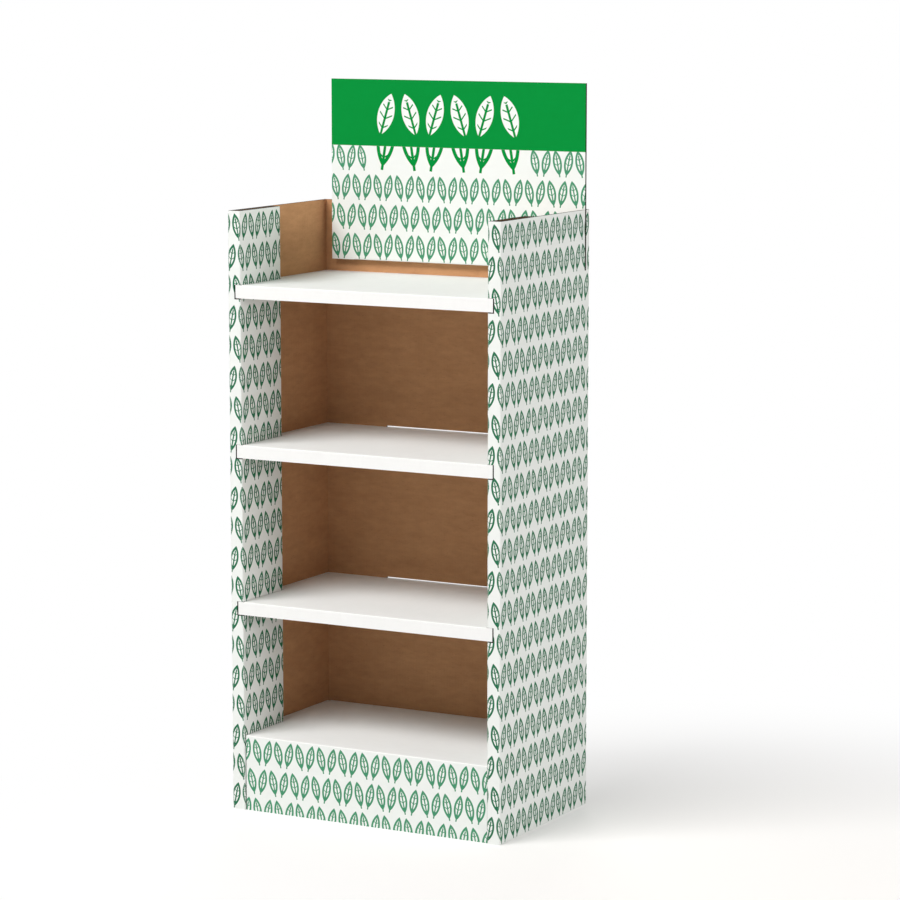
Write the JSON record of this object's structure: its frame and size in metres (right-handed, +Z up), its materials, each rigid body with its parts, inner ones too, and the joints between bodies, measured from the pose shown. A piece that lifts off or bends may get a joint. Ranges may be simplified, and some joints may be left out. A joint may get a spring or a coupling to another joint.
{
  "type": "cardboard display stand",
  "caption": "Free-standing floor display of folded corrugated board: open-fronted wrap with filled posts, lipped shelves, plinth base shelf and a header card.",
  "frame": {"origin": "on the floor, at the centre of the wrap's footprint", "axes": "+X to the right seen from the front, +Y towards the back, +Z up"},
  "size_m": [0.6, 0.371, 1.4349],
  "materials": {
    "printed_board": "white liner with a green line pattern outside, bare kraft inside, matte",
    "core_board": "bare kraft strips with dark open flutes on their cut ends, matte",
    "white_board": "plain white liner on both sides, matte",
    "plinth_board": "white liner, plain above and printed with the green line pattern in front, matte",
    "header_board": "white liner with a solid green band and a green line pattern, kraft behind, matte"
  },
  "bodies": {
    "root": {"body_wrap": "printed_board", "post_core_left": "core_board", "post_core_right": "core_board", "shelf_top": "white_board", "shelf_middle": "white_board", "shelf_lower": "white_board", "base_shelf": "plinth_board", "header_card": "header_board"}
  },
  "joints": []
}
